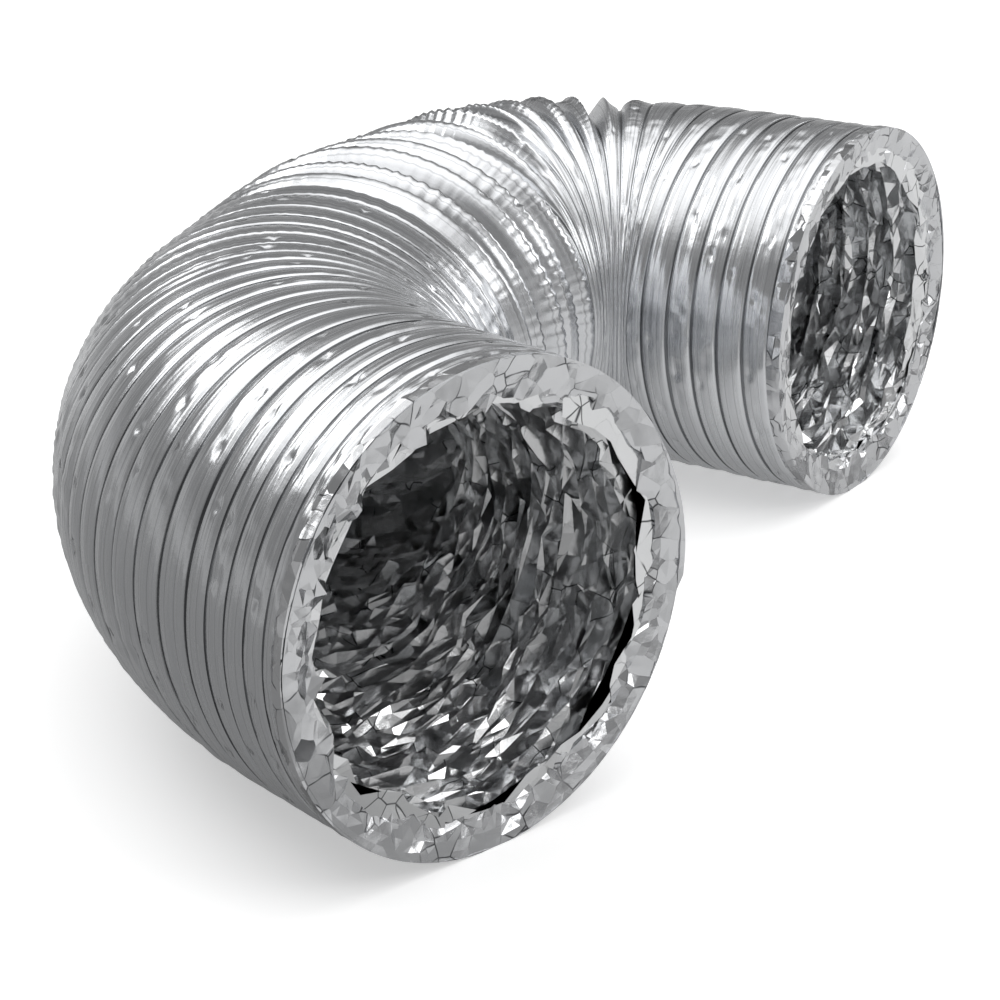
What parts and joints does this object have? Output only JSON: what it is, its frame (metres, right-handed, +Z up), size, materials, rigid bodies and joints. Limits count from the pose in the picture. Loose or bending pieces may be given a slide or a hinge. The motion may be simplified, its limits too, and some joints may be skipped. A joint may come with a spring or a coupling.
{
  "type": "flexible air duct",
  "caption": "Round flexible foil air duct on a spring wire coil, lying in a U, with a folded foil cuff at each open mouth.",
  "frame": {"origin": "middle of the footprint, on the floor that the duct lies on", "axes": "+Z up; +X across the U, from the leg with the near mouth to the leg with the far mouth; +Y from the mouths towards the bend"},
  "size_m": [0.4912, 0.3529, 0.16],
  "materials": {
    "outer_foil": "bright rolled foil laminate, pleated over the wire",
    "inner_foil": "bright foil laminate, crumpled between the wire turns",
    "spring_wire": "drawn spring steel wire in adhesive",
    "cuff_foil": "hand-folded foil with a torn inner edge"
  },
  "bodies": {
    "near_end": {"outer_foil_near_end": "outer_foil", "wire_coil_near_end": "spring_wire", "inner_foil_near_end": "inner_foil", "near_cuff": "cuff_foil"},
    "near_leg": {"outer_foil_near_leg": "outer_foil", "wire_coil_near_leg": "spring_wire", "inner_foil_near_leg": "inner_foil"},
    "bend_1": {"outer_foil_bend_1": "outer_foil", "wire_coil_bend_1": "spring_wire", "inner_foil_bend_1": "inner_foil"},
    "bend_2": {"outer_foil_bend_2": "outer_foil", "wire_coil_bend_2": "spring_wire", "inner_foil_bend_2": "inner_foil"},
    "bend_3": {"outer_foil_bend_3": "outer_foil", "wire_coil_bend_3": "spring_wire", "inner_foil_bend_3": "inner_foil"},
    "bend_4": {"outer_foil_bend_4": "outer_foil", "wire_coil_bend_4": "spring_wire", "inner_foil_bend_4": "inner_foil"},
    "bend_5": {"outer_foil_bend_5": "outer_foil", "wire_coil_bend_5": "spring_wire", "inner_foil_bend_5": "inner_foil"},
    "bend_6": {"outer_foil_bend_6": "outer_foil", "wire_coil_bend_6": "spring_wire", "inner_foil_bend_6": "inner_foil"},
    "bend_7": {"outer_foil_bend_7": "outer_foil", "wire_coil_bend_7": "spring_wire", "inner_foil_bend_7": "inner_foil"},
    "bend_8": {"outer_foil_bend_8": "outer_foil", "wire_coil_bend_8": "spring_wire", "inner_foil_bend_8": "inner_foil"},
    "bend_9": {"outer_foil_bend_9": "outer_foil", "wire_coil_bend_9": "spring_wire", "inner_foil_bend_9": "inner_foil"},
    "far_leg": {"outer_foil_far_leg": "outer_foil", "wire_coil_far_leg": "spring_wire", "inner_foil_far_leg": "inner_foil"},
    "far_end": {"outer_foil_far_end": "outer_foil", "wire_coil_far_end": "spring_wire", "inner_foil_far_end": "inner_foil", "far_cuff": "cuff_foil"}
  },
  "joints": [
    {"name": "near_stretch", "type": "slide", "parent": "near_leg", "child": "near_end", "axis": [0, -1, 0], "range_m": [0, 0.045]},
    {"name": "near_lift", "type": "hinge", "parent": "bend_1", "child": "near_leg", "pos_m": [-0.16561, -0.12847, 0.16], "axis": [-1, 0, 0], "range_deg": [0, 20]},
    {"name": "near_bend_4", "type": "hinge", "parent": "bend_5", "child": "bend_4", "pos_m": [-0.07861, 0.12395, 0.08], "axis": [0, 0, -1], "range_deg": [0, 8]},
    {"name": "near_bend_3", "type": "hinge", "parent": "bend_4", "child": "bend_3", "pos_m": [-0.14707, 0.07629, 0.08], "axis": [0, 0, -1], "range_deg": [0, 12]},
    {"name": "near_bend", "type": "hinge", "parent": "bend_3", "child": "bend_2", "pos_m": [-0.20013, 0.01905, 0.08], "axis": [0, 0, -1], "range_deg": [0, 17]},
    {"name": "near_bend_2", "type": "hinge", "parent": "bend_2", "child": "bend_1", "pos_m": [-0.23398, -0.05128, 0.08], "axis": [0, 0, -1], "range_deg": [0, 17]},
    {"name": "far_bend_2", "type": "hinge", "parent": "bend_5", "child": "bend_6", "pos_m": [-0.00453, 0.16228, 0.08], "axis": [0, 0, 1], "range_deg": [0, 16]},
    {"name": "far_bend", "type": "hinge", "parent": "bend_6", "child": "bend_7", "pos_m": [0.06712, 0.17643, 0.08], "axis": [0, 0, 1], "range_deg": [0, 24]},
    {"name": "far_bend_3", "type": "hinge", "parent": "bend_7", "child": "bend_8", "pos_m": [0.13808, 0.15916, 0.08], "axis": [0, 0, 1], "range_deg": [0, 24]},
    {"name": "far_bend_4", "type": "hinge", "parent": "bend_8", "child": "bend_9", "pos_m": [0.19522, 0.11367, 0.08], "axis": [0, 0, 1], "range_deg": [0, 24]},
    {"name": "far_lift", "type": "hinge", "parent": "bend_9", "child": "far_leg", "pos_m": [0.15039, 0.02876, 0.16], "axis": [-0.9694, -0.2453, 0], "range_deg": [0, 20]},
    {"name": "far_stretch", "type": "slide", "parent": "far_leg", "child": "far_end", "axis": [0.2453, -0.9694, 0], "range_m": [0, 0.045]}
  ],
  "couplings": [
    {"joint": "near_bend_2", "follows": "near_bend", "ratio": 1},
    {"joint": "near_bend_3", "follows": "near_bend", "ratio": 0.7},
    {"joint": "near_bend_4", "follows": "near_bend", "ratio": 0.45},
    {"joint": "far_bend_2", "follows": "far_bend", "ratio": 0.65},
    {"joint": "far_bend_3", "follows": "far_bend", "ratio": 1},
    {"joint": "far_bend_4", "follows": "far_bend", "ratio": 1}
  ]
}
